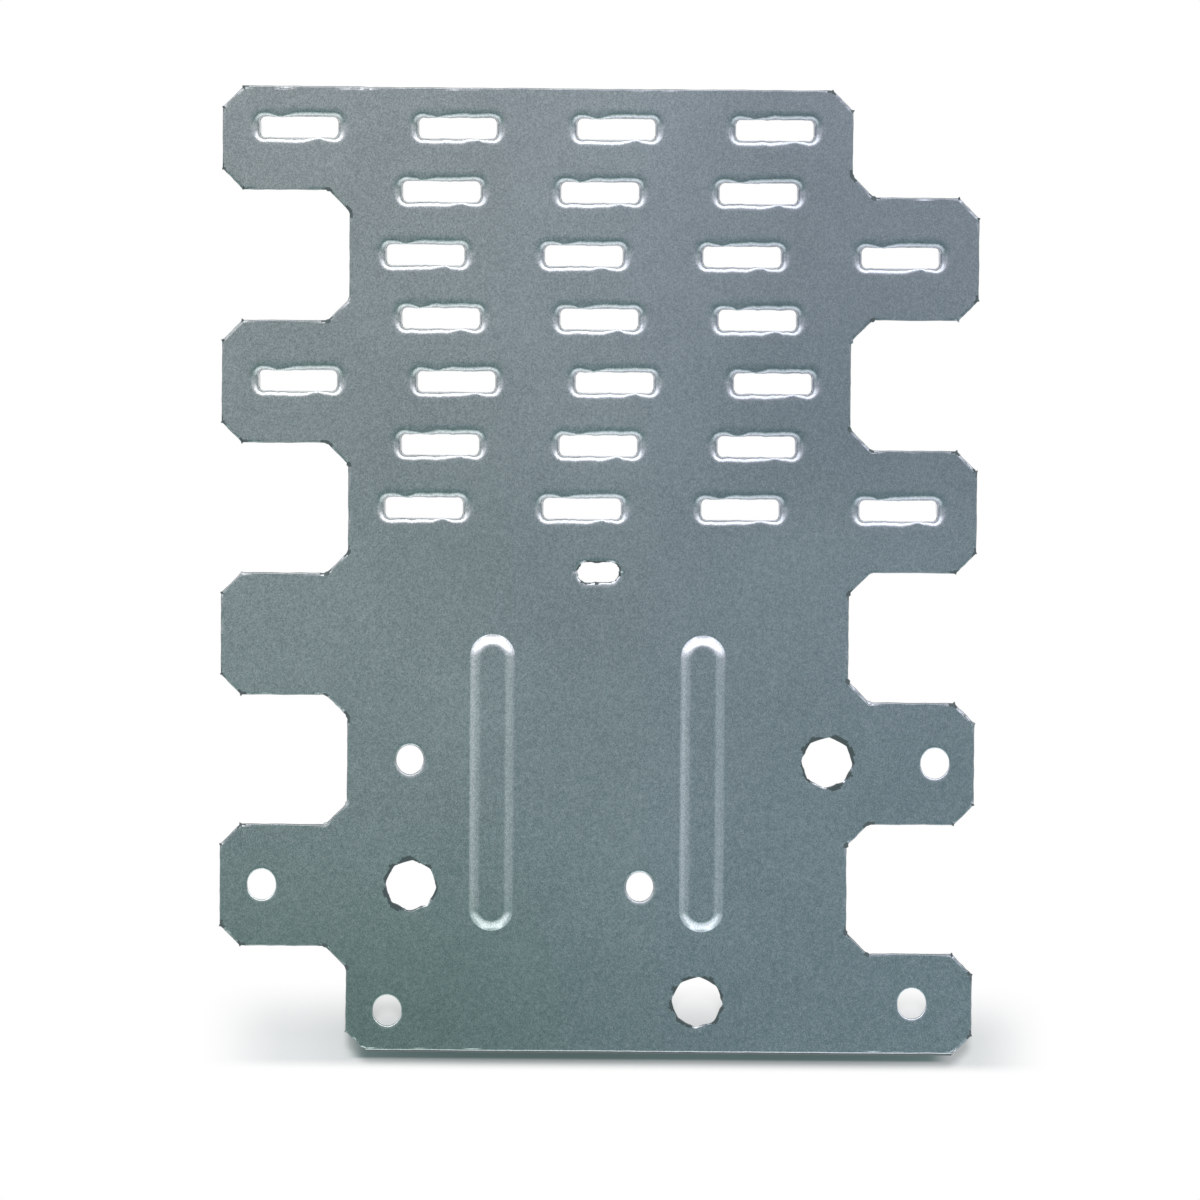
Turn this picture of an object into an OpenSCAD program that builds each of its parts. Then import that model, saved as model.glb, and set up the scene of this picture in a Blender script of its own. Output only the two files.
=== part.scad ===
// Roof boundary clip: one stamped sheet of galvanised steel with pressed-out nailing teeth.
// Units are millimetres. The tooth tips touch z = 0, the toothed end is +Y and the raised ribs are on top.

/* [Sheet] */
// thickness of the galvanised sheet
sheet_t = 0.95; // [0.8:0.05:1.2]
// length from the toothed end to the plain end
plate_l = 146.05; // [145:0.05:148]
// width of the middle strip between the notches
body_w = 75.8; // [75:0.1:77]

/* [Side tabs] */
// how far each tab reaches out from the middle strip
tab_reach = 19.1; // [18.5:0.1:20]
// height of a full tab along the plate
tab_h = 18.75; // [17.5:0.05:19.5]
// 45 degree cut on every corner, inside and outside
corner_cut = 3.15; // [2.5:0.05:4]

/* [Teeth] */
// distance between neighbouring slots in one row
col_pitch = 23.8125; // [23.5:0.0125:24]
// distance from one slot row to the next
row_pitch = 9.525; // [9.5:0.005:9.6]
// sideways step of each row against the one before
row_step = 2.38; // [2:0.02:2.6]
// clear length of a slot between its two teeth
slot_l = 11.7; // [11:0.1:12.5]
// clear width of a slot, which is also the width of a tooth at its root
slot_w = 3.2; // [2.8:0.1:3.4]
// length of a tooth below the back of the sheet
tooth_l = 9.3; // [8:0.1:10]
// inside radius of the bend at a tooth's root
bend_r = 0.55; // [0.4:0.05:0.8]
// width of the rounded lip along a slot
lip_r = 0.65; // [0.4:0.05:0.7]

/* [Ribs] */
// length of a pressed rib
rib_l = 45; // [40:0.5:50]
// width of a pressed rib at its foot
rib_w = 6.75; // [6:0.05:8]
// height of a rib above the front of the sheet
rib_h = 0.8; // [0.6:0.05:1]
// width of the rounded shoulder on each side of a rib
rib_shoulder = 1.6; // [1.4:0.05:1.9]
// distance between the centre lines of the two ribs
rib_gap = 31.75; // [28:0.25:36]

/* [Holes] */
// diameter of the six nail holes
nail_d = 4.6; // [4:0.05:5.2]
// diameter of the three large screw holes
screw_d = 7.6; // [7:0.05:9]
// length of the oblong hole in the middle of the plate
key_l = 6.6; // [5.5:0.1:8]
// width of the oblong hole in the middle of the plate
key_w = 3.2; // [2.8:0.05:4]
// rounding left by the punch round each hole
punch_lip = 0.2; // [0.1:0.05:0.3]

/* [Hidden] */
$fn = 64;

tooth_rows = 7;
back_z = tooth_l;
front_z = tooth_l + sheet_t;
body_x = body_w / 2;
outer_x = body_x + tab_reach;
end_y = plate_l / 2;
// outside radius of a bend, and how far from a slot's middle the bend leaves the flat sheet
bend_out = bend_r + sheet_t;
bend_x = slot_l / 2 + bend_out;
// radius of a slot's corners, and where the point of the tooth lay before it was bent down
slot_turn = 0.6;
point_x = 0.27 * slot_l;
// the slot grid, counted in rows down from the row nearest the toothed end
first_col = -21.55;
centre_row = 7;
rib_y = -31.75;
rib_flat = rib_w / 2 - rib_shoulder;
rib_r = (rib_shoulder * rib_shoulder + rib_h * rib_h) / (2 * rib_h);
rib_in_r = rib_r - sheet_t;
// half width of a rib's hollow where it opens at the back of the sheet
rib_in_w = rib_flat + sqrt(rib_in_r * rib_in_r - pow(rib_in_r - rib_h, 2));
// hole centres as x in mm and rows below the first slot row
nail_holes = [[-28.25, 10], [50.95, 10], [-50.55, 12], [6.55, 12], [-31.5, 14], [47.8, 13.8333]];
screw_holes = [[34.65, 10], [-28, 12], [15.35, 13.8333]];

function row_y(row) = (centre_row - row) * row_pitch;
function row_shift(row) = -row_step * (2 - abs(row % 4 - 2));

// right-hand edge from the plain end up to the toothed end
right_edge = concat(
    [[outer_x - corner_cut, -end_y], [outer_x, -end_y + corner_cut]],
    [for (i = [0:3]) each tab_edge(-row_y(4 * i), i > 0)],
    [[body_x, end_y - corner_cut], [body_x - corner_cut, end_y]]
);

// the left-hand edge is the same line turned by half a turn
outline = concat(right_edge, [for (p = right_edge) -p]);

// corners of one tab on the right-hand edge, with the lower ones left out for the tab at the plain end
function tab_edge(y, whole) = concat(
    whole ? [
        [body_x, y - tab_h / 2 - corner_cut],
        [body_x + corner_cut, y - tab_h / 2],
        [outer_x - corner_cut, y - tab_h / 2],
        [outer_x, y - tab_h / 2 + corner_cut]
    ] : [],
    [
        [outer_x, y + tab_h / 2 - corner_cut],
        [outer_x - corner_cut, y + tab_h / 2],
        [body_x + corner_cut, y + tab_h / 2],
        [body_x, y + tab_h / 2 + corner_cut]
    ]
);

module at_slots() {
    for (row = [0:tooth_rows - 1]) {
        first = row % 4 == 0 ? -1 : 0;
        last = row % 4 == 2 ? 3 : 2;
        for (col = [first:last]) {
            translate([first_col + col * col_pitch + row_shift(row), row_y(row), 0])
                children();
        }
    }
}

module both_ways() {
    children();
    rotate([0, 0, 180])
        children();
}

// what a rounded lip takes off a square edge: x runs back from the wall, y up to the face
module lip_profile(r) {
    difference() {
        square([r, r + 0.5]);
        translate([1.0958 * r, -0.0958 * r])
            circle(r = 1.1 * r);
    }
}

// a rounded lip of the given length, along +X, cut into the sheet on the -Y side of the line
module lip_cut(length, r) {
    translate([0, 0, front_z - r])
        rotate([90, 0, 90])
            linear_extrude(length)
                mirror([1, 0])
                    lip_profile(r);
}

// the tooth that lay along this side of the slot has drawn the lip down
module long_lip() {
    translate([-slot_l / 2 + slot_turn, -slot_w / 2, 0])
        lip_cut(slot_l / 2 - slot_turn, lip_r);
}

// towards the tooth's point the lip runs out, starting a little back so that it overlaps the straight lip
module tapering_lip() {
    start = 0.5;
    translate([0.15, -slot_w / 2, 0])
        rotate([0, 0, 9])
            translate([-start, 0, 0])
                lip_cut(start + point_x - 0.15, lip_r);
}

// past the point, the root of the other tooth has drawn the lip down a little
module short_lip() {
    translate([point_x + 0.25, -slot_w / 2, 0])
        lip_cut(slot_l / 2 - slot_turn - point_x - 0.25, 0.7 * lip_r);
}

// flare that carries the lips round two corners of the slot
module lip_corners() {
    drop = 0.85 * lip_r;
    for (sx = [-1, 1])
        translate([sx * (slot_l / 2 - slot_turn), slot_turn - slot_w / 2, front_z - drop])
            cylinder(r1 = slot_turn, r2 = slot_turn + drop + 0.5, h = drop + 0.5);
}

// the slot itself, with round corners
module slot_hole() {
    translate([0, 0, back_z - 1])
        linear_extrude(sheet_t + 2)
            union() {
                square([slot_l - 2 * slot_turn, slot_w], center = true);
                square([slot_l, slot_w - 2 * slot_turn], center = true);
                for (sx = [-1, 1], sy = [-1, 1])
                    translate([sx * (slot_l / 2 - slot_turn), sy * (slot_w / 2 - slot_turn)])
                        circle(slot_turn);
            }
}

// space above a tooth's bend, which the bend has carried down
module bend_hollow() {
    translate([-bend_x, -slot_w / 2, 0])
        difference() {
            translate([0, 0, back_z - bend_r])
                cube([bend_out, slot_w, bend_out + 0.5]);
            translate([0, -1, front_z - bend_out])
                rotate([-90, 0, 0])
                    cylinder(r = bend_out, h = slot_w + 2);
        }
}

// one tooth: a quarter-round bend at the root, then a blade with one straight side and one slanting side
module tooth() {
    root_z = front_z - bend_out;
    face_x = -slot_l / 2;
    // bend
    translate([-bend_x, 0, root_z])
        rotate([90, 0, 0])
            translate([0, 0, -slot_w / 2])
                rotate_extrude(angle = 90)
                    translate([bend_r, 0])
                        square([sheet_t, slot_w]);
    // blade
    intersection() {
        translate([face_x - sheet_t, 0, 0])
            rotate([90, 0, 90])
                linear_extrude(sheet_t)
                    polygon([
                        [-slot_w / 2, root_z],
                        [-slot_w / 2, 1.1],
                        [-slot_w / 2 + 0.35, 0],
                        [-slot_w / 2 + 0.7, 0],
                        [slot_w / 2, 0.68 * root_z],
                        [slot_w / 2, root_z]
                    ]);
        translate([0, slot_w, 0])
            rotate([90, 0, 0])
                linear_extrude(2 * slot_w)
                    polygon([
                        [face_x - sheet_t, root_z],
                        [face_x - sheet_t, 1.8],
                        [face_x - 0.62 * sheet_t, 0],
                        [face_x - 0.25 * sheet_t, 0],
                        [face_x, 1.8],
                        [face_x, root_z]
                    ]);
    }
}

// half of a rib's cross-section above the given height, from its centre line out
module rib_half(foot, half_w, flat, r, top) {
    difference() {
        translate([0, foot])
            square([half_w, top - foot]);
        difference() {
            translate([flat, top - r])
                square([half_w, r + 1]);
            translate([flat, top - r])
                circle(r);
        }
    }
}

// an oblong ridge with the same cross-section all the way round
module ridge(foot, half_w, flat, r, top, length) {
    straight = length - 2 * half_w;
    translate([0, straight / 2, 0])
        rotate([90, 0, 0])
            linear_extrude(straight)
                union() {
                    rib_half(foot, half_w, flat, r, top);
                    mirror([1, 0])
                        rib_half(foot, half_w, flat, r, top);
                }
    for (turn = [0, 180])
        rotate([0, 0, turn])
            translate([0, straight / 2, 0])
                rotate_extrude(angle = 180)
                    rib_half(foot, half_w, flat, r, top);
}

module at_ribs() {
    for (sx = [-1, 1])
        translate([sx * rib_gap / 2, rib_y, 0])
            children();
}

module punched(d) {
    translate([0, 0, back_z - 1])
        cylinder(d = d, h = sheet_t + 2);
    translate([0, 0, front_z - punch_lip])
        cylinder(d1 = d, d2 = d + 4 * punch_lip, h = 2 * punch_lip);
}

module holes() {
    for (p = nail_holes)
        translate([p[0], row_y(p[1]), 0])
            punched(nail_d);
    for (p = screw_holes)
        translate([p[0], row_y(p[1]), 0])
            punched(screw_d);
    for (sx = [-1, 1])
        translate([sx * (key_l - key_w) / 2, 0, 0])
            punched(key_w);
    key_middle();
}

// the straight part of the oblong hole, with the same rounded front edge as its two ends
module key_middle() {
    side = key_w / 2;
    open_side = side + 2 * punch_lip;
    translate([-(key_l - key_w) / 2, 0, 0])
        rotate([90, 0, 90])
            linear_extrude(key_l - key_w)
                polygon([[-side, back_z - 1], [side, back_z - 1], [side, front_z - punch_lip],
                         [open_side, front_z + punch_lip], [-open_side, front_z + punch_lip],
                         [-side, front_z - punch_lip]]);
}

module clip() {
    color("silver")
        union() {
            difference() {
                union() {
                    translate([0, 0, back_z])
                        linear_extrude(sheet_t)
                            polygon(outline);
                    at_ribs()
                        ridge(back_z + sheet_t / 2, rib_w / 2, rib_flat, rib_r, front_z + rib_h, rib_l);
                }
                at_ribs()
                    ridge(back_z - 1, rib_in_w, rib_flat, rib_in_r, back_z + rib_h,
                        rib_l - rib_w + 2 * rib_in_w);
                at_slots()
                    slot_hole();
                at_slots()
                    both_ways()
                        bend_hollow();
                at_slots()
                    both_ways()
                        long_lip();
                at_slots()
                    both_ways()
                        tapering_lip();
                at_slots()
                    both_ways()
                        short_lip();
                at_slots()
                    both_ways()
                        lip_corners();
                holes();
            }
            at_slots()
                both_ways()
                    tooth();
        }
}

clip();
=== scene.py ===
# %% [markdown]
# # Roof boundary clip
# This lesson makes the looks of one stamped plate of galvanised steel, a nailing plate for roof timbers.
# One end has pressed-out teeth, the other has two stiffening ribs and punched holes. The real plate is
# one sheet, so the model is built the way the die makes it: first the pressed and punched features, then
# the cut edge round the whole, then the sheet between them, and last the finish of the zinc.

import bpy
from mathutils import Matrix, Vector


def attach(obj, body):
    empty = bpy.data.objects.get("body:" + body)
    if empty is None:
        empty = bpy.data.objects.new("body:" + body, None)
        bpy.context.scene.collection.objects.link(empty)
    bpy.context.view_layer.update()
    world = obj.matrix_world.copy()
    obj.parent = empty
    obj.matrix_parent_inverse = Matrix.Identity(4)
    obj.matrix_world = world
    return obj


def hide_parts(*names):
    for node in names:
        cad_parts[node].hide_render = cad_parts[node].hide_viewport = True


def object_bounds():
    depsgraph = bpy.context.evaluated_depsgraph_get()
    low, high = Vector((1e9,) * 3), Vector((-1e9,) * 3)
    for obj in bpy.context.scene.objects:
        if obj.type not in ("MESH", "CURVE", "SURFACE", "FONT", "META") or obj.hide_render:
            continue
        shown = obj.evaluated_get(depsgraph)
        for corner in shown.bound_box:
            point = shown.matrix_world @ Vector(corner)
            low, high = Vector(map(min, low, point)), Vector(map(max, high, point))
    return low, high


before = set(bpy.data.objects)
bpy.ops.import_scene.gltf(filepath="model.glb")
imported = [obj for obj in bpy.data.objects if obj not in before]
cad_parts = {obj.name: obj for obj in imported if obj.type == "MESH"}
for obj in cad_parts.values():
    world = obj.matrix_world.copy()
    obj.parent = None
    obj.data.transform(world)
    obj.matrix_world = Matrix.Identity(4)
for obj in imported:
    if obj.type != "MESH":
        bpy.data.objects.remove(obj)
cad_low, cad_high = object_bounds()
print("CAD box in mm:", [round(1000 * v, 2) for v in (*cad_low, *cad_high)])

# %% [markdown]
# ## Levels of the sheet
# The construction model gives the box that the looks have to stay in. The plate stands on the tips of its
# teeth, and the ribs are its highest points, so the front and the back of the flat sheet follow from that
# box.

# %% Units and levels
import math
import random
import bpy
from mathutils import Vector

MM = 0.001
SHEET = 0.95 * MM                       # thickness of the metal
RIB_RISE = 0.8 * MM                     # the ribs stand this far above the front face
FRONT = cad_high.z - RIB_RISE           # height of the flat front face
BACK = FRONT - SHEET
FLOOR = cad_low.z                       # the tips of the teeth stand here
print("front face at", round(FRONT / MM, 3), "mm, back face at", round(BACK / MM, 3), "mm")

# %% [markdown]
# ## Helpers for modelling by hand
# Every piece below starts as a primitive and is shaped in edit mode. An operator works on all that is
# selected, and a freshly loaded frame is selected, so each helper clears the selection first.

# %% Selection helpers
def only(obj):
    """Makes obj the only selected and the active object, in object mode."""
    if bpy.context.mode != "OBJECT":
        bpy.ops.object.mode_set(mode="OBJECT")
    bpy.ops.object.select_all(action="DESELECT")
    obj.select_set(True)
    bpy.context.view_layer.objects.active = obj


def edit(obj, action="DESELECT"):
    """Opens obj in edit mode with nothing or everything selected."""
    only(obj)
    bpy.ops.object.mode_set(mode="EDIT")
    bpy.ops.mesh.select_mode(type="VERT")
    bpy.ops.mesh.select_all(action=action)


def place(obj, moved):
    """Puts each selected point of obj where moved() says, and returns to edit mode."""
    bpy.ops.object.mode_set(mode="OBJECT")
    for v in obj.data.vertices:
        if v.select:
            v.co = moved(v.co.copy())
    bpy.ops.object.mode_set(mode="EDIT")


# %% Helpers for whole pieces
WELD = 0.002 * MM           # points nearer than this are one point


def join(pieces, name):
    """Joins the pieces into one object of that name and welds points that coincide."""
    only(pieces[0])
    for piece in pieces:
        piece.select_set(True)
    bpy.ops.object.join()
    whole = bpy.context.view_layer.objects.active
    whole.name = whole.data.name = name
    edit(whole, "SELECT")
    bpy.ops.mesh.remove_doubles(threshold=WELD)
    bpy.ops.object.mode_set(mode="OBJECT")
    return whole


def shift(obj, x, y):
    """Moves the whole mesh of obj across the plate. The object itself stays at the origin."""
    edit(obj, "SELECT")
    bpy.ops.transform.translate(value=(x, y, 0))
    bpy.ops.object.mode_set(mode="OBJECT")
    return obj


def copy_of(obj):
    """A copy of obj with its own mesh."""
    only(obj)
    bpy.ops.object.duplicate()
    return bpy.context.active_object


# %% [markdown]
# ## A skin of metal over a row of lines
# Pressed metal could be cut with booleans, but they leave hard edges where the die leaves soft ones. A
# closed line of points is a better start: it is extruded step by step, and each new line is laid where
# the metal goes.

# %% Skin over lines
def nearest(co, points):
    """Index of the point that lies nearest to co."""
    return min(range(len(points)), key=lambda i: (co - Vector(points[i])).length_squared)


def skin(lines, name, cap=False):
    """Starts as a circle laid on the first line, and is extruded from each line to the next."""
    bpy.ops.object.select_all(action="DESELECT")
    bpy.ops.mesh.primitive_circle_add(vertices=len(lines[0]), radius=1)
    piece = bpy.context.active_object
    piece.name = piece.data.name = name
    for v, point in zip(piece.data.vertices, lines[0]):
        v.co = point
    edit(piece, "SELECT")
    for here, there in zip(lines, lines[1:]):
        bpy.ops.mesh.extrude_region_move()
        place(piece, lambda co: there[nearest(co, here)])
    if cap:
        bpy.ops.mesh.edge_face_add()
    bpy.ops.object.mode_set(mode="OBJECT")
    return piece


# %% [markdown]
# ## Outline shapes
# Two plan shapes return all over the plate: an oblong with round corners, and a circle. Both are written
# as a list of points that starts at the same place and runs the same way round. So any two with equal
# counts can be joined by straight bands, without a twist.

# %% Plan shapes
def oblong(half_x, half_y, corner, along, across, turn):
    """Plan points of an oblong. The counts are for a long side, a short side and a round corner."""
    flat_x, flat_y = half_x - corner, half_y - corner
    # the centre of each corner, the way along the side after it, and the pieces of that side
    stretches = [((flat_x, -flat_y), (0, 2 * flat_y), across),
                 ((flat_x, flat_y), (-2 * flat_x, 0), along),
                 ((-flat_x, flat_y), (0, -2 * flat_y), across),
                 ((-flat_x, -flat_y), (2 * flat_x, 0), along)]
    points = []
    for index, (centre, way, count) in enumerate(stretches):
        for step in range(turn + 1):
            angle = math.radians(90 * (index - 1 + step / turn))
            points.append((centre[0] + corner * math.cos(angle), centre[1] + corner * math.sin(angle)))
        x, y = points[-1]
        points += [(x + way[0] * step / count, y + way[1] * step / count) for step in range(1, count)]
    return points


def circle(radius, count):
    """Plan points of a circle."""
    angles = [math.tau * i / count for i in range(count)]
    return [(radius * math.cos(angle), radius * math.sin(angle)) for angle in angles]


def ease(low, high, value):
    """0 below low, 1 above high, and a slope with soft ends in between."""
    part = min(1.0, max(0.0, (value - low) / (high - low)))
    return part * part * (3 - 2 * part)


# %% [markdown]
# ## One slot with its two teeth
# The die shears two teeth out of each slot, one from either end, and bends them down. The metal at the
# ends of the slot follows the bend. Along the sides each tooth has drawn the edge down as it left: widely
# beside its root and hardly at all beside its point, so the two sides are alike after half a turn. The
# slot is a stack of lines that sink as they close in, and this rolled rim catches the light. The sheet
# round it is dished a little too.

# %% Sizes of the slot
SLOT_END = 5.85 * MM        # half of the slot's clear length
SLOT_SIDE = 1.57 * MM       # half of its clear width
CORNER = 0.85 * MM          # radius of its corners
RIM_CORNER = 1.05 * MM      # the rim's outer corners are rounder than those by this much
OUTER_CORNER = 0.9          # and outside the rim they grow by this share of the way out
BEND = 1.15 * MM            # outer radius of the bend at a tooth's root
BEND_IN = BEND - SHEET
LIP = 0.64 * MM             # width of the rolled rim along a side
LIP_DROP = 0.6 * MM         # how far that rim is drawn down
DISH = 0.95 * MM            # the sheet sinks gently from this far round the slot
DISH_DROP = 0.024 * MM      # by this much on the side of the toothed end
SHALLOW = 0.15              # and by this share of it on the other side
BACK_SIDE = 0.3 * MM        # at the back the slot is this much wider on each side
BACK_CORNER = 0.5 * MM      # and its corners are this much rounder
COUNTS = (16, 4, 5)         # points along a side, across an end and round a corner

# %% Shares of the rim
rim_plan = oblong(SLOT_END, SLOT_SIDE, CORNER, *COUNTS)
end_share = [ease(4.7 * MM, 5.5 * MM, abs(x)) for x, y in rim_plan]     # 1 at the ends, 0 along the sides


def lip_share(x, y):
    """How much of the full rim a point of a side has: all beside a root, little beside a point."""
    along = (x if y < 0 else -x) / MM
    return max(1 - 0.92 * ease(0.4, 3.2, along), 0.8 * ease(3.2, 4.0, along))


side_share = [lip_share(x, y) for x, y in rim_plan]
print("a line of the slot has", len(rim_plan), "points, and its least rim is", round(min(side_share), 2))


# %% Lines of the slot
def level_share(out):
    """0 at the rim, and 1 where the sheet is level again."""
    return 1 - (1 - min(1, out / DISH)) ** 2


def front_line(turn, out):
    """A line on the front, so far round the bend, from 0 to 1, or so far outside the rim."""
    closed, sunk = math.sin(turn * math.pi / 2), 1 - math.cos(turn * math.pi / 2)
    level = level_share(out)
    plan = oblong(SLOT_END + BEND * (1 - closed) + out, SLOT_SIDE + LIP * (1 - closed) + out,
                  CORNER + RIM_CORNER * (1 - closed) + OUTER_CORNER * out, *COUNTS)
    line = []
    for (x, y), end, share in zip(plan, end_share, side_share):
        narrower = (1 - end) * (1 - share) * LIP * (1 - closed) * (1 - level)
        drop = sunk * (end * BEND + (1 - end) * share * LIP_DROP)
        deep = SHALLOW + (1 - SHALLOW) * ease(-1.5 * MM, 1.5 * MM, y)
        line.append((x, y - math.copysign(narrower, y), FRONT - drop - DISH_DROP * (1 - level) * deep))
    return line


def back_line(turn, out):
    """A line on the back, from the foot of the wall outwards and round the inside of the bend."""
    opened, risen = 1 - math.cos(turn * math.pi / 2), math.sin(turn * math.pi / 2)
    dish = 0.5 * DISH_DROP * (1 - level_share(out))
    plan = oblong(SLOT_END + SHEET + BEND_IN * opened + out, SLOT_SIDE + BACK_SIDE * turn + out,
                  CORNER + BACK_CORNER * turn + OUTER_CORNER * out, *COUNTS)
    return [(x, y, BACK - dish - end * BEND_IN * (1 - risen)) for (x, y), end in zip(plan, end_share)]


# %% Skin of the slot
FRONT_STEPS, BACK_STEPS = 7, 3      # lines round the outside and the inside of the bend
slot_lines = [front_line(0, out * MM) for out in (1.5, 1.0, 0.8, 0.6, 0.35, 0.12)]
slot_lines += [front_line(step / FRONT_STEPS, 0) for step in range(1, FRONT_STEPS + 1)]
slot_lines += [back_line(step / BACK_STEPS, 0) for step in range(BACK_STEPS + 1)]
slot_lines += [back_line(1, out * MM) for out in (0.6, 1.3, 1.5)]
slot = skin(slot_lines, "slot")
print("slot:", len(slot.data.polygons), "faces")

# %% [markdown]
# ## The teeth
# A tooth is the strip of sheet that used to fill half of the slot. Its foot is the narrow band that the
# slot's lines leave at each end, looking straight down. A tooth could be a piece of its own, but then its
# root would show a seam. So that band is extruded downwards step by step, and each step is laid on the
# shape of the tooth: one straight side, one slanting side, and a chisel point.

# %% Shape of a tooth
# height above the floor and the two edges, in mm
TOOTH_SHAPE = [(7.9, -1.6, 1.6), (5.95, -1.6, 1.6), (3.6, -1.6, 0.6), (1.8, -1.6, -0.15),
               (0.9, -1.55, -0.5), (0.0, -1.25, -0.9)]
BEVEL_FROM = 1.8            # the tooth gets thinner below this height, in mm
POINT_THIN = 0.38           # share of the thickness left at the point


def thickness_share(height):
    """Share of the sheet's thickness that the tooth has at this height."""
    return 1 if height >= BEVEL_FROM else POINT_THIN + (1 - POINT_THIN) * height / BEVEL_FROM


def tooth_point(co, side, edges, row):
    """Where a point of the tooth, between these edges, goes in the next row of its shape."""
    height, low, high = row
    part = (-side * co.y / MM - edges[0]) / (edges[1] - edges[0])
    across = -side * (low + (high - low) * part) * MM
    depth = math.copysign(SHEET / 2, side * co.x - SLOT_END - SHEET / 2) * thickness_share(height)
    return Vector((side * (SLOT_END + SHEET / 2 + depth), across, FLOOR + height * MM))


# %% Pull the teeth down
def select_foot(side):
    """Selects the band at one end of the slot that faces straight down, where a tooth begins."""
    edit(slot)
    bpy.ops.mesh.select_mode(type="FACE")
    bpy.ops.object.mode_set(mode="OBJECT")
    for face in slot.data.polygons:
        centre = face.center
        in_band = SLOT_END + 0.02 * MM < side * centre.x < SLOT_END + SHEET
        at_root = abs(centre.z - (FRONT - DISH_DROP - BEND)) < 0.12 * MM
        face.select = in_band and at_root and abs(face.normal.z) > 0.8
    bpy.ops.object.mode_set(mode="EDIT")


def pull_tooth(side):
    """Extrudes one tooth at the left end (side -1) or, after half a turn, at the right end (side 1)."""
    select_foot(side)
    edges = (-SLOT_SIDE / MM, SLOT_SIDE / MM)
    for row in TOOTH_SHAPE:
        bpy.ops.mesh.extrude_region_move()
        place(slot, lambda co: tooth_point(co, side, edges, row))
        edges = row[1:]
    bpy.ops.object.mode_set(mode="OBJECT")


for side in (-1, 1):
    pull_tooth(side)
print("slot with teeth:", len(slot.data.polygons), "faces, lowest point",
      round(min(v.co.z for v in slot.data.vertices) / MM, 3), "mm")

# %% [markdown]
# ## The ribs
# A rib is pressed up from the back, so the front has a raised oblong with a crisp foot and rounded
# shoulders, and the back has the same shape as a hollow. A bevelled box on top would close the hollow.
# The front and the back are two separate skins here, a sheet's thickness apart, and the sheet itself will
# join them later.

# %% Lines of a rib
RIB_HALF = 22.5 * MM                                    # half of a rib's length
RIB_SIDE = 3.375 * MM                                   # half of its width at the foot
RIB_SHOULDER = 1.6 * MM                                 # width of its rounded shoulder
RIB_FLAT = RIB_SIDE - RIB_SHOULDER                      # half of the width of its flat top
RIB_CENTRES = [(-15.875, -31.83), (15.875, -31.83)]     # in mm
shoulder_r = (RIB_SHOULDER ** 2 + RIB_RISE ** 2) / (2 * RIB_RISE)


def rib_line(half_width, height):
    """A line round a rib, at this half width and height. Its shoulders are a little longer at the ends."""
    longer = 0.05 * MM * (1 - ease(RIB_FLAT, RIB_SIDE, half_width))
    half_length = RIB_HALF - RIB_SIDE + half_width - longer
    return [(x, y, height) for x, y in oblong(half_width, half_length, half_width * 0.999, 1, 12, 10)]


def shoulder(face, radius, steps):
    """Lines up a rounded shoulder of this radius, from the foot on this face towards the flat top."""
    foot = math.acos(1 - RIB_RISE / radius)
    angles = [foot * (1 - i / steps) for i in range(steps)]
    centre = face + RIB_RISE - radius
    return [rib_line(RIB_FLAT + radius * math.sin(a), centre + radius * math.cos(a)) for a in angles]


# %% Skins of a rib
def rib_skin(face, radius, name):
    """One face of a rib: a flat border, the shoulder, and the flat top."""
    lines = [rib_line(RIB_SIDE + 0.9 * MM, face), rib_line(RIB_SIDE + 0.5 * MM, face)]
    lines += shoulder(face, radius, 7)
    lines += [rib_line(RIB_FLAT, face + RIB_RISE), rib_line(RIB_FLAT - 0.3 * MM, face + RIB_RISE)]
    return skin(lines, name, cap=True)


rib_faces = [rib_skin(FRONT, shoulder_r, "rib_front"), rib_skin(BACK, shoulder_r - SHEET, "rib_back")]
rib = join(rib_faces, "rib")
print("rib:", len(rib.data.polygons), "faces")

# %% [markdown]
# ## Punched holes
# A punch rolls the front edge of a hole a little and breaks the rest away. The nail holes are nearly
# clean, and two of them are rolled in a little more. The large screw holes are ragged: nearly
# eight-sided, with torn edges. The oblong hole in the middle is the roughest. Each hole is a stack of
# lines from the front to the back again, shaken by a seeded random amount, so that the light breaks up on
# its edge.

# %% Skin of a hole
# the lines of an edge: how far outside the hole, and how far below the front, in mm
CLEAN = [(0.9, 0), (0.5, 0), (0.15, 0.0), (0.06, 0.01), (0.02, 0.03), (0.0, 0.07)]
ROLLED = [(0.9, 0), (0.6, 0), (0.3, 0.0), (0.12, 0.02), (0.05, 0.06), (0.0, 0.15)]
TORN = [(1.15, 0), (0.8, 0), (0.5, 0), (0.3, 0.0), (0.1, 0.0), (0.03, 0.01), (0.0, 0.04)]
SHAKEN_TO = 0.6             # lines further out than this stay true, in mm


def hole_skin(plan, name, edge_lines, rough, crumbs, seed):
    """A hole through the sheet. plan(out) gives its outline at a distance outside its clear edge."""
    chance = random.Random(seed)
    shake = [chance.uniform(-1, 1) for _ in plan(0)]
    shake = [(a + b + c) / 3 for a, b, c in zip(shake[-1:] + shake[:-1], shake, shake[1:] + shake[:1])]

    def ring(out, height, share):
        points = []
        for (x, y), s in zip(plan(out * MM), shake):
            grow = 1 + rough * share * (s + chance.uniform(-0.35, 0.35)) / math.hypot(x, y)
            points.append((x * grow, y * grow, height + crumbs * share * chance.uniform(-1.0, 0.4)))
        return points

    lines = [ring(out, FRONT - down * MM, 1 if 0 < out < SHAKEN_TO else 0) for out, down in edge_lines]
    lines += [ring(0, BACK + 0.3 * MM, 1), ring(0.03, BACK + 0.05 * MM, 1), ring(0.8, BACK, 0)]
    return skin(lines, name)


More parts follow.
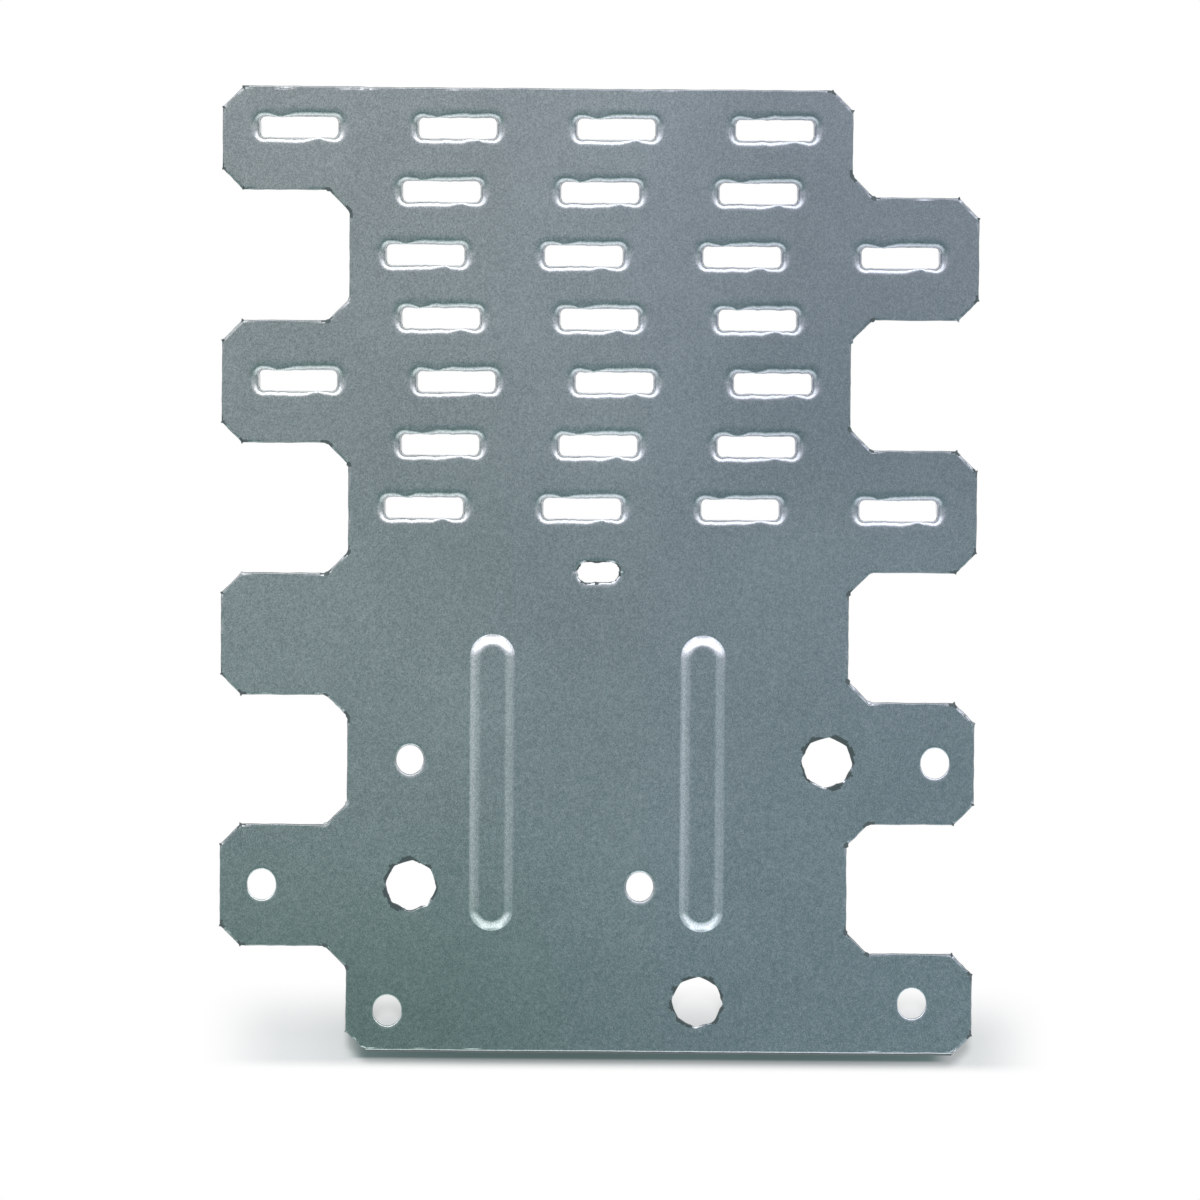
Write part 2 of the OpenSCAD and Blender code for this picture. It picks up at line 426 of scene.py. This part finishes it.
# %% Plans of the holes
def octagon(radius, count, share, turned=0.075):
    """Plan points between a circle, at share 0, and a shape with eight straight sides, at share 1."""
    eighth = math.tau / 8
    points = []
    for i, (x, y) in enumerate(circle(radius, count)):
        off = (math.tau * i / count + turned) % eighth - eighth / 2
        size = 1 - share + share * math.cos(eighth / 2) / math.cos(off)
        points.append((x * size, y * size))
    return points


def nail_plan(out):
    """The nail holes are a little taller than wide."""
    return [(x * (2.17 * MM + out), y * (2.36 * MM + out)) for x, y in circle(1, 40)]


def narrow_nail_plan(out):
    """A rolled-in edge closes a nail hole a little."""
    return nail_plan(out - 0.12 * MM)


def screw_plan(out):
    """The screw holes are three quarters of the way from round to eight-sided."""
    return octagon(3.86 * MM + out, 72, 0.75)


def middle_plan(out):
    """The hole in the middle is an oblong with all but half-round ends."""
    return oblong(3.25 * MM + out, 1.56 * MM + out, 1.55 * MM + out, 6, 1, 10)


# %% Holes in their places
ROW = 9.525                 # from one row of slots to the next, in mm
# centres of the holes: x in mm, and how many rows they lie from the plate's middle to the plain end
nail_places = [(x, -rows * ROW) for x, rows in
               [(-28.25, 3), (50.95, 3), (-50.55, 5), (6.55, 5), (-31.5, 7), (47.8, 6.8333)]]
screw_places = [(x, -rows * ROW) for x, rows in [(34.65, 3), (-28.0, 5), (15.35, 6.8333)]]
NARROW_NAILS = (0, 3)       # these two nail holes are rolled in
NAIL_LIFT = 0.08            # the nail holes sit this much nearer the toothed end than their row, in mm
HOLE_LIFT = 0.1             # and the other holes this much

holes = []
for number, (x, y) in enumerate(nail_places):
    narrow = number in NARROW_NAILS
    hole = hole_skin(narrow_nail_plan if narrow else nail_plan, "nail_hole", ROLLED if narrow else CLEAN,
                     0.04 * MM, 0.0, 20 + number)
    holes.append(shift(hole, x * MM, (y + NAIL_LIFT) * MM))
for number, (x, y) in enumerate(screw_places):
    hole = hole_skin(screw_plan, "screw_hole", TORN, 0.14 * MM, 0.01 * MM, 40 + number)
    holes.append(shift(hole, x * MM, (y + HOLE_LIFT) * MM))
middle = hole_skin(middle_plan, "middle_hole", ROLLED, 0.3 * MM, 0.02 * MM, 7)
holes.append(shift(middle, 0, HOLE_LIFT * MM))
print(len(holes), "holes")

# %% [markdown]
# ## Place the features
# The slots stand in seven rows. Each row is set a tenth of a pitch further over than the one before, and
# after two steps the rows step back. An array modifier would make all of them alike, but no two slots
# tear alike. So the slot was modelled once, and each copy gets its own mesh and its own slight waves
# along the rim.

# %% Slots and ribs in their places
ROWS, COLUMN, STEP = 7, 23.8125, 2.38       # rows of slots, and the pitch and the step of a row in mm
FIRST = -21.6                               # x of the first slot in a full row, in mm
SLOT_LIFT = 0.13                            # the slots sit this much nearer the toothed end than their row


def wobble(obj, seed):
    """Gives the rims of one slot their own slight waves."""
    chance = random.Random(seed)
    waves = [(chance.uniform(0.5, 2.2), chance.uniform(0, math.tau), 0.07),
             (chance.uniform(3, 5), chance.uniform(0, 6), 0.04)]        # rate, start and size in mm
    for v in obj.data.vertices:
        x, y = v.co.x / MM, v.co.y / MM
        if v.co.z > BACK + 0.1 * MM:
            near = 1 - ease(0.5, 1.4, abs(y) - SLOT_SIDE / MM)
            along_side = 1 - ease(4.6, 5.6, abs(x))
            other = 1.3 if y > 0 else 0
            wave = sum(size * math.sin(rate * x + start + other) for rate, start, size in waves)
            v.co.y += wave * near * along_side * MM


slots = []
for row in range(ROWS):
    row_shift = -STEP * (2 - abs(row % 4 - 2))
    for column in range(-1 if row % 4 == 0 else 0, 4 if row % 4 == 2 else 3):
        one = copy_of(slot)
        wobble(one, 100 * row + column)
        x, y = FIRST + column * COLUMN + row_shift, (ROWS - row) * ROW + SLOT_LIFT
        slots.append(shift(one, x * MM, y * MM))
bpy.data.objects.remove(slot)
ribs = [shift(copy_of(rib), x * MM, y * MM) for x, y in RIB_CENTRES]
bpy.data.objects.remove(rib)
print(len(slots), "slots and", len(ribs), "ribs")

# %% [markdown]
# ## The cut outline
# The blanking die cuts four tabs on each long side, half a pitch apart, with every corner cut at 45
# degrees. The left side of the outline is the right side after half a turn. A dead straight edge would
# look drawn, so the line is divided into short pieces and shaken a little. At the corners, and on some of
# the slanting cuts, the shear was blunt: there the line is ragged, with small burrs, and the edge is
# dented so that it glints.

# %% Corners of the outline
BODY_X = 37.9               # half of the width between the notches, in mm like all sizes of the outline
REACH = 19.1                # how far a tab reaches out
TAB, TAB_PITCH = 18.75, 38.1
FIRST_TAB = -66.675         # middle of the tab at the plain end
CUT = 3.15                  # the 45 degree cut of a corner
END_Y = 73.025              # half of the length


def side_corners():
    """Corners of the right-hand side, from the plain end up."""
    outer = BODY_X + REACH
    corners = [(outer - CUT, -END_Y), (outer, -END_Y + CUT)]
    for tab in range(4):
        low, high = [TAB_PITCH * tab + FIRST_TAB + way * TAB / 2 for way in (-1, 1)]
        if tab:
            corners += [(BODY_X, low - CUT), (BODY_X + CUT, low), (outer - CUT, low), (outer, low + CUT)]
        corners += [(outer, high - CUT), (outer - CUT, high), (BODY_X + CUT, high), (BODY_X, high + CUT)]
    return corners + [(BODY_X, END_Y - CUT), (BODY_X - CUT, END_Y)]


right = side_corners()
corners = right + [(-x, -y) for x, y in right]
print("outline:", len(corners), "corners")

# %% Points along the outline
PIECE, TORN_PIECE = 0.9, 0.4    # length of the short pieces, and of those on a blunt cut
KEEP_IN = 0.15              # the line lies this far inside, so that its burrs reach the true size
PLAIN_KEEP_IN = 0.02        # and at the plain end, which has no burrs, only this far
STEP_X = -35.2              # left of this the toothed end stands out by STEP_OUT
STEP_OUT = 0.15
chance = random.Random(11)


def cut_points(start, end):
    """Points of one side: the true place of each, its place on the cut line, and how blunt the cut was."""
    (x, y), (x2, y2) = start, end
    length = math.hypot(x2 - x, y2 - y)
    out_x, out_y = (y2 - y) / length, -(x2 - x) / length
    slanting = abs(abs(out_x) - abs(out_y)) < 0.2
    torn = slanting and chance.random() < (0.75 if x > 0 else 0.35)
    count = max(4, round(length / (TORN_PIECE if torn else PIECE)))
    kept = PLAIN_KEEP_IN if y < 1 - END_Y and y2 < 1 - END_Y else KEEP_IN
    slow, points = 0.0, []
    for part in [0, 0.3 / length] + [step / count for step in range(1, count)] + [1 - 0.3 / length]:
        true_x, true_y = x + (x2 - x) * part, y + (y2 - y) * part
        near_end = 1 - ease(0.2, 1.4, min(part, 1 - part) * length)
        blunt = max(near_end * chance.uniform(0.3, 1), 0.8 * chance.random() if torn else 0,
                    ease(0.9, 1, chance.random()))
        slow = 0.6 * slow + chance.uniform(-0.035, 0.035)
        burr = 0.1 + 0.25 * chance.random() if part == 0 else 0.1 * (chance.random() - 0.5) * blunt
        raised = STEP_OUT if y > END_Y - 1 and y2 > END_Y - 1 and true_x < STEP_X else 0
        out = slow * (1 - near_end) + burr + raised - kept
        cut_x, cut_y = true_x + out_x * out, true_y + out_y * out
        cut = max(-BODY_X - REACH, min(BODY_X + REACH, cut_x)), max(-END_Y, min(END_Y, cut_y))
        points.append(((true_x, true_y), cut, blunt))
    return points


all_points = []
for start, end in zip(corners, corners[1:] + corners[:1]):
    all_points += cut_points(start, end)
drawn, outline, ragged = [list(column) for column in zip(*all_points)]
dents = [chance.random() * blunt for blunt in ragged]
print("outline:", len(outline), "points")

# %% [markdown]
# ## The skin of the cut edge
# The cut edge has a small rounding at the front, a wall, and a sharp corner at the back. At the plain end
# the wall leans out towards the back, so that it shows as a thin line from above. The innermost lines
# follow the true line without its burrs, because a shaken line that is moved far inwards would cross
# itself.

# %% Skin of the cut edge
EDGE_ROUND = 0.07           # rounding of the cut edge, in mm
LEAN = 0.45                 # the cut at the plain end leans out this far towards the back, in mm


def inset(points, depth):
    """The same closed line, moved inwards by depth."""
    moved = []
    for before, here, after in zip(points[-1:] + points[:-1], points, points[1:] + points[:1]):
        run_x, run_y = after[0] - before[0], after[1] - before[1]
        length = math.hypot(run_x, run_y)
        moved.append((here[0] - run_y / length * depth, here[1] + run_x / length * depth))
    return moved


def outline_line(depth, height, leaning=0.0, dented=0.0, line=outline):
    """A line at this depth and height, leaning in at the plain end and dented where the cut was blunt."""
    return [(x * MM, (y + LEAN * leaning * ease(72.0, 72.9, -y)) * MM, height - dented * dent * MM)
            for (x, y), dent in zip(inset(line, depth), dents)]


rounding = EDGE_ROUND * MM
edge_lines = [outline_line(0.6, FRONT, 1, line=drawn), outline_line(0.5, FRONT, 1, line=drawn),
              outline_line(0.38, FRONT, 1, 0.1, drawn), outline_line(0.16, FRONT, 1, 0.1),
              outline_line(EDGE_ROUND, FRONT, 1, 0.12), outline_line(0.02, FRONT - 0.3 * rounding, 1, 0.14),
              outline_line(0, FRONT - rounding, 0.95, 0.14), outline_line(0, BACK + 0.3 * MM, 0.3),
              outline_line(0.05, BACK), outline_line(0.6, BACK, line=drawn)]
edge = skin(edge_lines, "outline")
print("cut edge:", len(edge.data.polygons), "faces")

# %% [markdown]
# The bare steel of the cut is dark, and at most corners a small spot of painted shade stands for the
# shading of the burrs. A second material would end in a hard line. So each face gets a number, and the
# zinc's own material reads how dark it is.

# %% Dark cut line and painted shade at the corners
# painted shade: dark spots at most corners, for the shading of the burrs
burr_shade_spots = [(x, y, chance.uniform(0.4, 0.95)) for x, y in corners if chance.random() < 0.8]
mark = edge.data.attributes.new("steel_and_shade", "FLOAT", "FACE")
for face in edge.data.polygons:
    x, y = face.center.x / MM, face.center.y / MM
    in_burr_shade = any(math.hypot(x - at_x, y - at_y) < size for at_x, at_y, size in burr_shade_spots)
    # the plain end's rounding is still zinc
    cut = abs(face.normal.z) < (0.93 if y > -72 else 0.6)
    mark.data[face.index].value = 1.0 if cut else 0.95 if in_burr_shade else 0.0
print(len(burr_shade_spots), "burr_shaded corners")

# %% [markdown]
# ## The sheet between
# Now all the features stand in the plane of the sheet, with open borders. Selecting the open borders of
# the front and filling them makes the flat sheet between, with every slot, rib and hole left out, and the
# back is filled the same way. It is one closed skin of metal then, and its normals are turned outwards
# together.

# %% Fill the front and the back
clip = join(slots + ribs + holes + [edge], "clip_sheet")


def select_borders(level):
    """Selects the open borders that lie at this height."""
    edit(clip)
    bpy.ops.mesh.select_mode(type="EDGE")
    bpy.ops.mesh.select_non_manifold(use_wire=False, use_multi_face=False, use_non_contiguous=False,
                                     use_verts=False)
    bpy.ops.object.mode_set(mode="OBJECT")
    points = clip.data.vertices
    for line in clip.data.edges:
        line.select = line.select and all(abs(points[i].co.z - level) < 0.01 * MM for i in line.vertices)
    for face in clip.data.polygons:
        face.select = False
    chosen = {i for line in clip.data.edges if line.select for i in line.vertices}
    for point in points:
        point.select = point.index in chosen
    bpy.ops.object.mode_set(mode="EDIT")
    bpy.ops.mesh.select_mode(type="EDGE")


for level in (FRONT, BACK):
    select_borders(level)
    bpy.ops.mesh.fill(use_beauty=True)
edit(clip, "SELECT")
bpy.ops.mesh.normals_make_consistent(inside=False)
bpy.ops.mesh.select_all(action="DESELECT")
bpy.ops.mesh.select_non_manifold()
bpy.ops.object.mode_set(mode="OBJECT")
print("open or crossing edges:", sum(line.select for line in clip.data.edges))
print("sheet:", len(clip.data.polygons), "faces")

# %% [markdown]
# ## Soft and sharp edges
# The bends, rims and shoulders are smooth metal, while the cut edges are sharp. Smoothing by angle gives
# both at once: faces that meet at less than the angle share a normal, and the rest keep a crisp line. The
# finished sheet then rides on the part's one body and stands for its one solid.

# %% Smooth by angle
SMOOTH_UNDER = 35           # degrees
only(clip)
bpy.ops.object.shade_smooth_by_angle(angle=math.radians(SMOOTH_UNDER))
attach(clip, "root")
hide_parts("clip")
print(clip.name, "rides on root and replaces clip")

# %% [markdown]
# ## Shader maths in Python
# A material is a graph of nodes, but its maths reads best as plain expressions. This small class wraps a
# socket, so that adding or multiplying two of them makes the Math node that does it.

# %% Sockets with operators
class Wire:
    """An output socket that can be used in expressions."""

    def __init__(self, graph, socket):
        self.graph = graph
        self.socket = socket

    def maths(self, operation, a, b):
        return self.graph.node("ShaderNodeMath", {"operation": operation}, {0: a, 1: b})

    def __add__(self, other):
        return self.maths("ADD", self, other)

    def __radd__(self, other):
        return self.maths("ADD", other, self)

    def __sub__(self, other):
        return self.maths("SUBTRACT", self, other)

    def __rsub__(self, other):
        return self.maths("SUBTRACT", other, self)

    def __mul__(self, other):
        return self.maths("MULTIPLY", self, other)

    def __rmul__(self, other):
        return self.maths("MULTIPLY", other, self)

    def least(self, other):
        return self.maths("MINIMUM", self, other)

    def most(self, other):
        return self.maths("MAXIMUM", self, other)

    def between(self, low, high):
        """0 below low, 1 above high, with a soft slope."""
        return self.graph.node("ShaderNodeMapRange", {"interpolation_type": "SMOOTHSTEP"},
                               {"Value": self, "From Min": low, "From Max": high})

    def patch(self, low, low_fade, high, high_fade):
        """1 between low and high, with a soft fade of these widths inside both."""
        return (self - low).between(0.0, low_fade) * (high - self).between(0.0, high_fade)


# %% Node trees
class Graph:
    """The node tree of a material or of the world."""

    def __init__(self, owner):
        owner.use_nodes = True
        self.tree = owner.node_tree
        self.tree.nodes.clear()

    def node(self, kind, settings=None, inputs=None, output=0):
        """Makes a node, and gives the wire of one of its outputs."""
        made = self.tree.nodes.new(kind)
        for name, value in (settings or {}).items():
            setattr(made, name, value)
        for name, value in (inputs or {}).items():
            if isinstance(value, Wire):
                self.tree.links.new(value.socket, made.inputs[name])
            else:
                made.inputs[name].default_value = value
        return Wire(self, made.outputs[output]) if made.outputs else None

    def axes(self, vector):
        """The x, y and z of a vector as three wires."""
        return [self.node("ShaderNodeSeparateXYZ", None, {0: vector}, axis) for axis in range(3)]

    def blend(self, share, a, b):
        """A colour between a and b."""
        return self.node("ShaderNodeMix", {"data_type": "RGBA"}, {0: share, 6: a, 7: b}, 2)

    def light(self, tint, strength):
        """Light from the room, of this colour and strength."""
        return self.node("ShaderNodeBackground", None, {"Color": tint, "Strength": strength})

    def either(self, share, a, b):
        """Finish a where share is 0 and finish b where it is 1."""
        return self.node("ShaderNodeMixShader", None, {0: share, 1: a, 2: b})

    def both(self, a, b):
        """Two lights added together."""
        return self.node("ShaderNodeAddShader", None, {0: a, 1: b})


def colour(r, g, b):
    """A colour as a socket takes it, with full cover."""
    return (r, g, b, 1.0)


# %% [markdown]
# ## Galvanised steel
# Hot-dip zinc is a grey metal with a faint green cast. Close up it is finely speckled, because each tiny
# crystal of zinc has weathered a little differently. Where the sheet was sheared the bare steel shows as
# a dark rough band, and the same dark is painted as shade on the slots' end bends and upper rims, on the
# rolled-in rims of two nail holes and on the burrs at the corners. An image could show this, but the
# number in the mesh costs nothing and follows each edge exactly, so the faces inside the slots and holes
# are marked next.

# %% Torn rings round the large holes, and painted shade on two nail rims
SECTORS = 24                # a ring is torn further or less far in each of these
RIM_SHADE_PAINT = 0.45            # painted shade this dark on the rolled-in edges of two nail holes
RIM_SHADE_RADIUS = 2.45          # out to this radius, in mm
chance = random.Random(5)
# x and y of the hole, its radius, the width of its torn ring, and half of its straight part, in mm
torn_holes = [(x, y + HOLE_LIFT, 3.6, 0.9, 0) for x, y in screw_places]
torn_holes.append((0, HOLE_LIFT, 1.45, 0.45, 1.7))
tears = [[chance.random() for _ in range(SECTORS)] for _ in torn_holes]


def torn_and_rim_shade_share(x, y):
    """1 on the torn ring round a large hole, which is wide in some places and gone in others; a painted
    shade on the rolled-in nail rims.
    """
    for (hole_x, hole_y, radius, width, straight), tear in zip(torn_holes, tears):
        off_x, off_y = x / MM - hole_x, y / MM - hole_y
        far = math.hypot(max(abs(off_x) - straight, 0), off_y)
        if far < radius + width:
            turn = math.degrees(math.atan2(off_y, off_x)) % 360 / (360 / SECTORS)
            part = tear[int(turn) % SECTORS] * (1 - turn % 1) + tear[int(turn + 1) % SECTORS] * (turn % 1)
            return 1.0 if far < radius + width * part else 0.0
    # painted shade on the rolled-in rims of two nail holes
    for number in NARROW_NAILS:
        hole_x, hole_y = nail_places[number]
        if math.hypot(x / MM - hole_x, y / MM - hole_y) < RIM_SHADE_RADIUS:
            return RIM_SHADE_PAINT
    return 0.0


# %% Mark the sheared faces, and paint shade on the slots' bends and upper rims
SLOT_AREA_Y = 5 * MM        # all slots lie beyond this
BEND_SHADE_PAINT, LIP_SHADE_PAINT = 0.22, 0.16        # how dark the painted shade is on a slot's end bends and upper rim


def steel_and_shade_share(face, share):
    """How dark a face is, when its own share was set with the outline."""
    centre, normal = face.center, face.normal
    by_slot = centre.y > SLOT_AREA_Y
    if BACK - 0.1 * MM < centre.z < FRONT - 0.05 * MM:
        # the wall that faces the toothed end mirrors the window and stays bright
        bright_wall = normal.y > 0.5 and by_slot
        if abs(normal.z) < 0.3 and not bright_wall:
            share = 1.0
        # painted shade on the bends at the slot ends and on the upper rims of the slots
        elif abs(normal.x) > 0.25 and by_slot and normal.z > 0:
            share = max(share, BEND_SHADE_PAINT)
        elif normal.y < -0.3 and by_slot and normal.z > 0:
            share = max(share, LIP_SHADE_PAINT)
    return max(share, torn_and_rim_shade_share(centre.x, centre.y) if normal.z > 0 else 0.0)


mark = clip.data.attributes["steel_and_shade"]
for face in clip.data.polygons:
    mark.data[face.index].value = steel_and_shade_share(face, mark.data[face.index].value)
print("sheared faces:", sum(v.value > 0.5 for v in mark.data))

# %% [markdown]
# ## The zinc's colour
# A Voronoi texture gives the crystals, one grey to a cell, and two noises add grain and broad clouds. Light
# and shade are painted across the plate too: a painted shade darkens it, tinted green at the plain end's
# left corner and deeper in a patch right of the middle, and spares a broad painted band of light across
# the ribs. The sheet is also bluer to the right. Lamps could do that shading, but they would change with
# every view, so these soft patches are blended into the base colour, by the distance from the middle of
# the plate.

# %% Speckle of the zinc
CELLS = 6500                # crystals in a metre
DARK_ZINC, PALE_ZINC = colour(0.485, 0.515, 0.525), colour(0.81, 0.84, 0.85)

zinc = bpy.data.materials.new("galvanised_zinc")
metal = Graph(zinc)
spot = metal.node("ShaderNodeTexCoord", output="Object")


def noise(scale, detail, roughness):
    """Noise of about this many spots in a millimetre, centred on 0.5."""
    where = metal.node("ShaderNodeMapping", None, {"Vector": spot, "Scale": (1000 * scale,) * 3})
    return metal.node("ShaderNodeTexNoise", None, {"Vector": where, "Scale": 1.0, "Detail": detail,
                                                   "Roughness": roughness})


cells = metal.node("ShaderNodeTexVoronoi", None, {"Vector": spot, "Scale": CELLS}, "Color")
speck = metal.node("ShaderNodeRGBToBW", None, {0: cells})
grain = noise(1.6, 2.0, 0.6)
clouds = noise(0.07, 3.0, 0.55)
tone = 0.5 + (speck - 0.5) * 1.3 + (grain - 0.5) * 0.15 + (clouds - 0.5) * 0.5
base = metal.blend(tone.least(1.0).most(0.0), DARK_ZINC, PALE_ZINC)
print("speckle of", 1000 / CELLS, "mm")

# %% Painted light and shade across the plate
BLACK = colour(0, 0, 0)
# colours of the green-tinted painted shade, of the bluer tint, and of bare steel, which also paints shade
GREEN_SHADE_TINT, BLUE_TINT = colour(0.28, 0.44, 0.34), colour(0.56, 0.61, 0.86)
BARE_STEEL_AND_SHADE = colour(0.08, 0.10, 0.105)

x, y = [axis * 1000 for axis in metal.axes(spot)[:2]]       # in mm from the middle of the plate
down, left = 0 - y, 0 - x
# painted shade and light by place: green-tinted shade at the plain end's left corner, a light band across
# the ribs, shade elsewhere, deeper right of the middle
green_shade_patch = down.between(30, 66) * left.between(-20, 35)
painted_light_band = (down - x * 0.5).between(5, 32) * (1 - down.between(50, 70) * left.between(-45, 0))
painted_shade = 0.09 * (1 - painted_light_band) + 0.18 * x.between(0, 32) * y.between(-5, 22)
base = metal.blend(painted_shade, base, BLACK)
base = metal.blend(green_shade_patch * 0.34, base, GREEN_SHADE_TINT)
base = metal.blend(x.between(-48, 48) * 0.25, base, BLUE_TINT)
# dark for the cut steel, and the same number paints shade on bends, rims and corner burrs
steel_and_shade = metal.node("ShaderNodeAttribute", {"attribute_name": "steel_and_shade"}, output="Fac")
base = metal.blend(steel_and_shade, base, BARE_STEEL_AND_SHADE)
print("tint:", len(metal.tree.nodes), "nodes so far")

# %% Finish of the zinc
roughness = 0.18 + (grain - 0.5) * 0.1 + steel_and_shade * 0.3
bump = metal.node("ShaderNodeBump", None, {"Strength": 0.15, "Distance": 0.01 * MM, "Height": grain})
finish = metal.node("ShaderNodeBsdfPrincipled", None, {
    "Base Color": base, "Metallic": 1.0, "Roughness": roughness, "Normal": bump})
metal.node("ShaderNodeOutputMaterial", None, {"Surface": finish})
clip.data.materials.clear()
clip.data.materials.append(zinc)
print("finish of", clip.name, "is", clip.data.materials[0].name)

# %% [markdown]
# ## Camera
# The photograph was taken from well above, almost square on, with a long lens. The plate's sides draw
# together by less than a hundredth, and that small taper fixes where the camera stood.

# %% Camera
LENS, SENSOR = 312, 36                              # in mm
CAMERA_PLACE = (-0.00071, 0.12985, 1.57141)         # in metres
CAMERA_TURN = (-4.903, 0, 0.412)                    # in degrees

view = bpy.data.objects.new("camera", bpy.data.cameras.new("camera"))
bpy.context.scene.collection.objects.link(view)
view.data.lens = LENS
view.data.sensor_width = SENSOR
view.location = CAMERA_PLACE
view.rotation_euler = [math.radians(a) for a in CAMERA_TURN]
view.data.clip_start, view.data.clip_end = 0.05, 20
bpy.context.scene.camera = view
print("camera", round(view.location.length, 2), "m from the plate")

# %% [markdown]
# ## The room
# A metal shows what stands round it. Lamps alone would leave it black with a few hot spots, so the light
# is a room, painted by direction. The flat faces look up at a dim green-grey ceiling. The room brightens
# quickly towards the toothed end, where a large window stands, and is bright low down at the plain end
# too, with a dark gap between. So one side of each rim is white and the other is a thin bright line under
# a dark one. Low down at the two sides the window is dimmer, so that the plate stays grey when it is seen
# from a low angle.

# %% Bands of light
# A band comes on between two shares of the way from straight up, 0, to level, 1. A minus puts it out.
TOOTHED_END = [(0.04, 0.35, 1.4), (0.85, 0.98, -1.1)]
PLAIN_END = [(0.16, 0.48, 0.85), (0.5, 0.8, 0.4), (0.93, 1.0, -0.6)]
LEFT_WALL = [(0.02, 0.35, 0.14), (0.5, 0.95, 0.16)]
RIGHT_WALL = [(0.0, 0.38, 0.2)]
CEILING, CEILING_LIGHT = colour(0.48, 1.0, 0.97), 0.178
SKY, SKY_MOST = colour(1.17, 0.99, 1.08), 0.5
WHITE = colour(1, 1, 1)


def glow(direction, bands):
    """The light of all the bands in one direction."""
    light = 0.0
    for start, full, strength in bands:
        light = light + direction.between(start, full) * strength
    return light


# %% World
world = bpy.data.worlds.new("studio")
bpy.context.scene.world = world
room = Graph(world)
east, north, up = room.axes(room.node("ShaderNodeTexCoord", output="Generated"))
south, west = 0.0 - north, 0.0 - east
daylight = ((north + 0.12) * 2.7 + west.most(0.0).least(0.04) * 1.2).most(0.0).least(SKY_MOST)
aside = (west.between(0.4, 0.6) + east.between(0.4, 0.6)) * (1 - up.between(0.3, 0.45))
window = (glow(north, TOOTHED_END) + glow(south, PLAIN_END)) * (1 - aside * 0.6)
walls = glow(west, LEFT_WALL) + glow(east, RIGHT_WALL)
overhead = room.both(room.light(CEILING, CEILING_LIGHT), room.light(SKY, daylight))
lit = room.both(overhead, room.light(WHITE, window + walls))
seen = room.node("ShaderNodeLightPath", output="Is Camera Ray")
room.node("ShaderNodeOutputWorld", None, {"Surface": room.either(seen, lit, room.light(WHITE, 1.0))})
print("room:", len(room.tree.nodes), "nodes")

# %% [markdown]
# ## Floor
# The floor is plain white paper. The background is pure white all round, and only the plain end has a
# shadow: a dark line close under the edge and a faint grey at both corners. A paper lit evenly enough to
# be white would show no shadow. So the paper shows its own shade near that end alone, a painted shadow
# lies close under the edge as a darker strip of paper, and everywhere else the camera sees it white.

# %% Floor
FLOOR_SIDE = 3              # metres
SHADE_ALONG, SHADE_ACROSS = (-77.1, 1.9, -63, 9.0), (-61, 14.0, 70, 12.0)       # ends and fades, in mm
# where the painted shadow lies, close under the plain end's edge, in mm
SHADOW_PAINT_ALONG, SHADOW_PAINT_ACROSS = (-75.4, 0.5, -70, 1.0), (-38.5, 4.0, 54.5, 4.0)
PAPER, SHADOW_PAINT = colour(0.44, 0.44, 0.44), colour(0.14, 0.19, 0.185)

bpy.ops.object.select_all(action="DESELECT")
bpy.ops.mesh.primitive_plane_add(size=FLOOR_SIDE, location=(0, 0, 0))
floor = bpy.context.active_object
floor.name = "floor"
paper = bpy.data.materials.new("white_paper")
page = Graph(paper)
on_floor = page.node("ShaderNodeTexCoord", output="Object")
across, along = [axis * 1000 for axis in page.axes(on_floor)[:2]]       # in mm
shaded = along.patch(*SHADE_ALONG) * across.patch(*SHADE_ACROSS)
# painted shadow: a darker paper colour close under the plain end
painted_shadow = along.patch(*SHADOW_PAINT_ALONG) * across.patch(*SHADOW_PAINT_ACROSS)
matt = page.either(painted_shadow, page.node("ShaderNodeBsdfDiffuse", None, {"Color": PAPER}),
                   page.node("ShaderNodeBsdfDiffuse", None, {"Color": SHADOW_PAINT}))
white = page.node("ShaderNodeEmission", None, {"Color": WHITE, "Strength": 1.0})
camera_ray = page.node("ShaderNodeLightPath", output="Is Camera Ray")
mirror_ray = page.node("ShaderNodeLightPath", output="Is Glossy Ray")
plain = camera_ray.most(mirror_ray) * (1 - shaded)
page.node("ShaderNodeOutputMaterial", None, {"Surface": page.either(plain, matt, white)})
floor.data.materials.append(paper)
print("floor of", FLOOR_SIDE, "m, with a shaded patch at the plain end")

# %% [markdown]
# ## Lamp
# One wide lamp stands a little towards the toothed end, so that the plate's shadow falls past the plain
# end, as in the photograph. The metal doesn't mirror it, because it would burn a hot spot into each rim.

# %% Lamp over the plate
LAMP_ENERGY, LAMP_WIDTH, LAMP_LEAN = 2.0, 8, -19    # strength, and width and lean in degrees

lamp = bpy.data.objects.new("lamp", bpy.data.lights.new("lamp", "SUN"))
bpy.context.scene.collection.objects.link(lamp)
lamp.data.energy = LAMP_ENERGY
lamp.data.angle = math.radians(LAMP_WIDTH)
lamp.rotation_euler = (math.radians(LAMP_LEAN), 0, 0)
lamp.visible_glossy = False
print("lamp leans", LAMP_LEAN, "degrees")

# %% [markdown]
# ## Finish
# The Standard view shows each colour about as it is written.

# %% Colour and finish
scene = bpy.context.scene
scene.view_settings.view_transform = "Standard"
